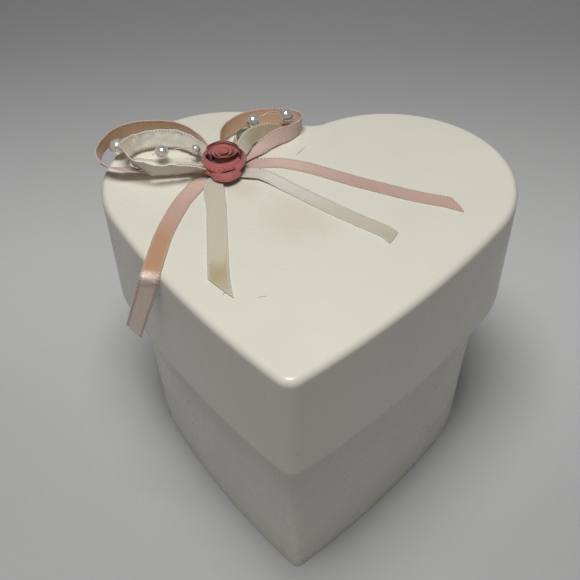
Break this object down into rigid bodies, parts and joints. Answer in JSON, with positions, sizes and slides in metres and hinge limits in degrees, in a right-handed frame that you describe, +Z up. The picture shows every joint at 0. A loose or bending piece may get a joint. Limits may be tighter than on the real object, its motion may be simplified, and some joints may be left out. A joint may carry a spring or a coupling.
{
  "type": "heart-shaped trinket box",
  "caption": "Heart-shaped moulded plastic trinket box with a lift-off lid, topped with a satin ribbon bow, a rolled ribbon rose and pearls on filament.",
  "frame": {"origin": "middle of the heart outline at the plane the box stands on", "axes": "+Z up through the lid, -Y towards the heart's front tip, +X to the right lobe"},
  "size_m": [0.0711, 0.0664, 0.0637],
  "materials": {
    "base_plastic": "glossy ivory injection-moulded plastic",
    "lid_plastic": "glossy ivory injection-moulded plastic with fine specks",
    "glue": "set craft glue",
    "cream_ribbon": "cream satin ribbon with woven edges",
    "pink_ribbon": "dusty pink satin ribbon with woven edges",
    "rose_ribbon": "rolled rose-pink satin ribbon",
    "thread": "fine sewing thread",
    "filament": "clear nylon filament",
    "pearl": "pearl lacquer over a plastic bead"
  },
  "bodies": {
    "base": {"base": "base_plastic"},
    "lid": {"lid": "lid_plastic", "glue_dab": "glue", "knot": "cream_ribbon", "binding_thread": "thread", "rose": "rose_ribbon", "pink_loop_left": "pink_ribbon", "pink_loop_right": "pink_ribbon", "cream_loop_left": "cream_ribbon", "cream_loop_right": "cream_ribbon", "pink_tail_left": "pink_ribbon", "pink_tail_right": "pink_ribbon", "cream_tail_left": "cream_ribbon", "cream_tail_right": "cream_ribbon", "filament_left": "filament", "filament_right": "filament", "pearl_1": "pearl", "pearl_2": "pearl", "pearl_3": "pearl", "pearl_4": "pearl", "pearl_5": "pearl"}
  },
  "joints": [
    {"name": "lid_lift", "type": "slide", "parent": "base", "child": "lid", "axis": [0, 0, 1], "range_m": [0, 0.025]}
  ]
}
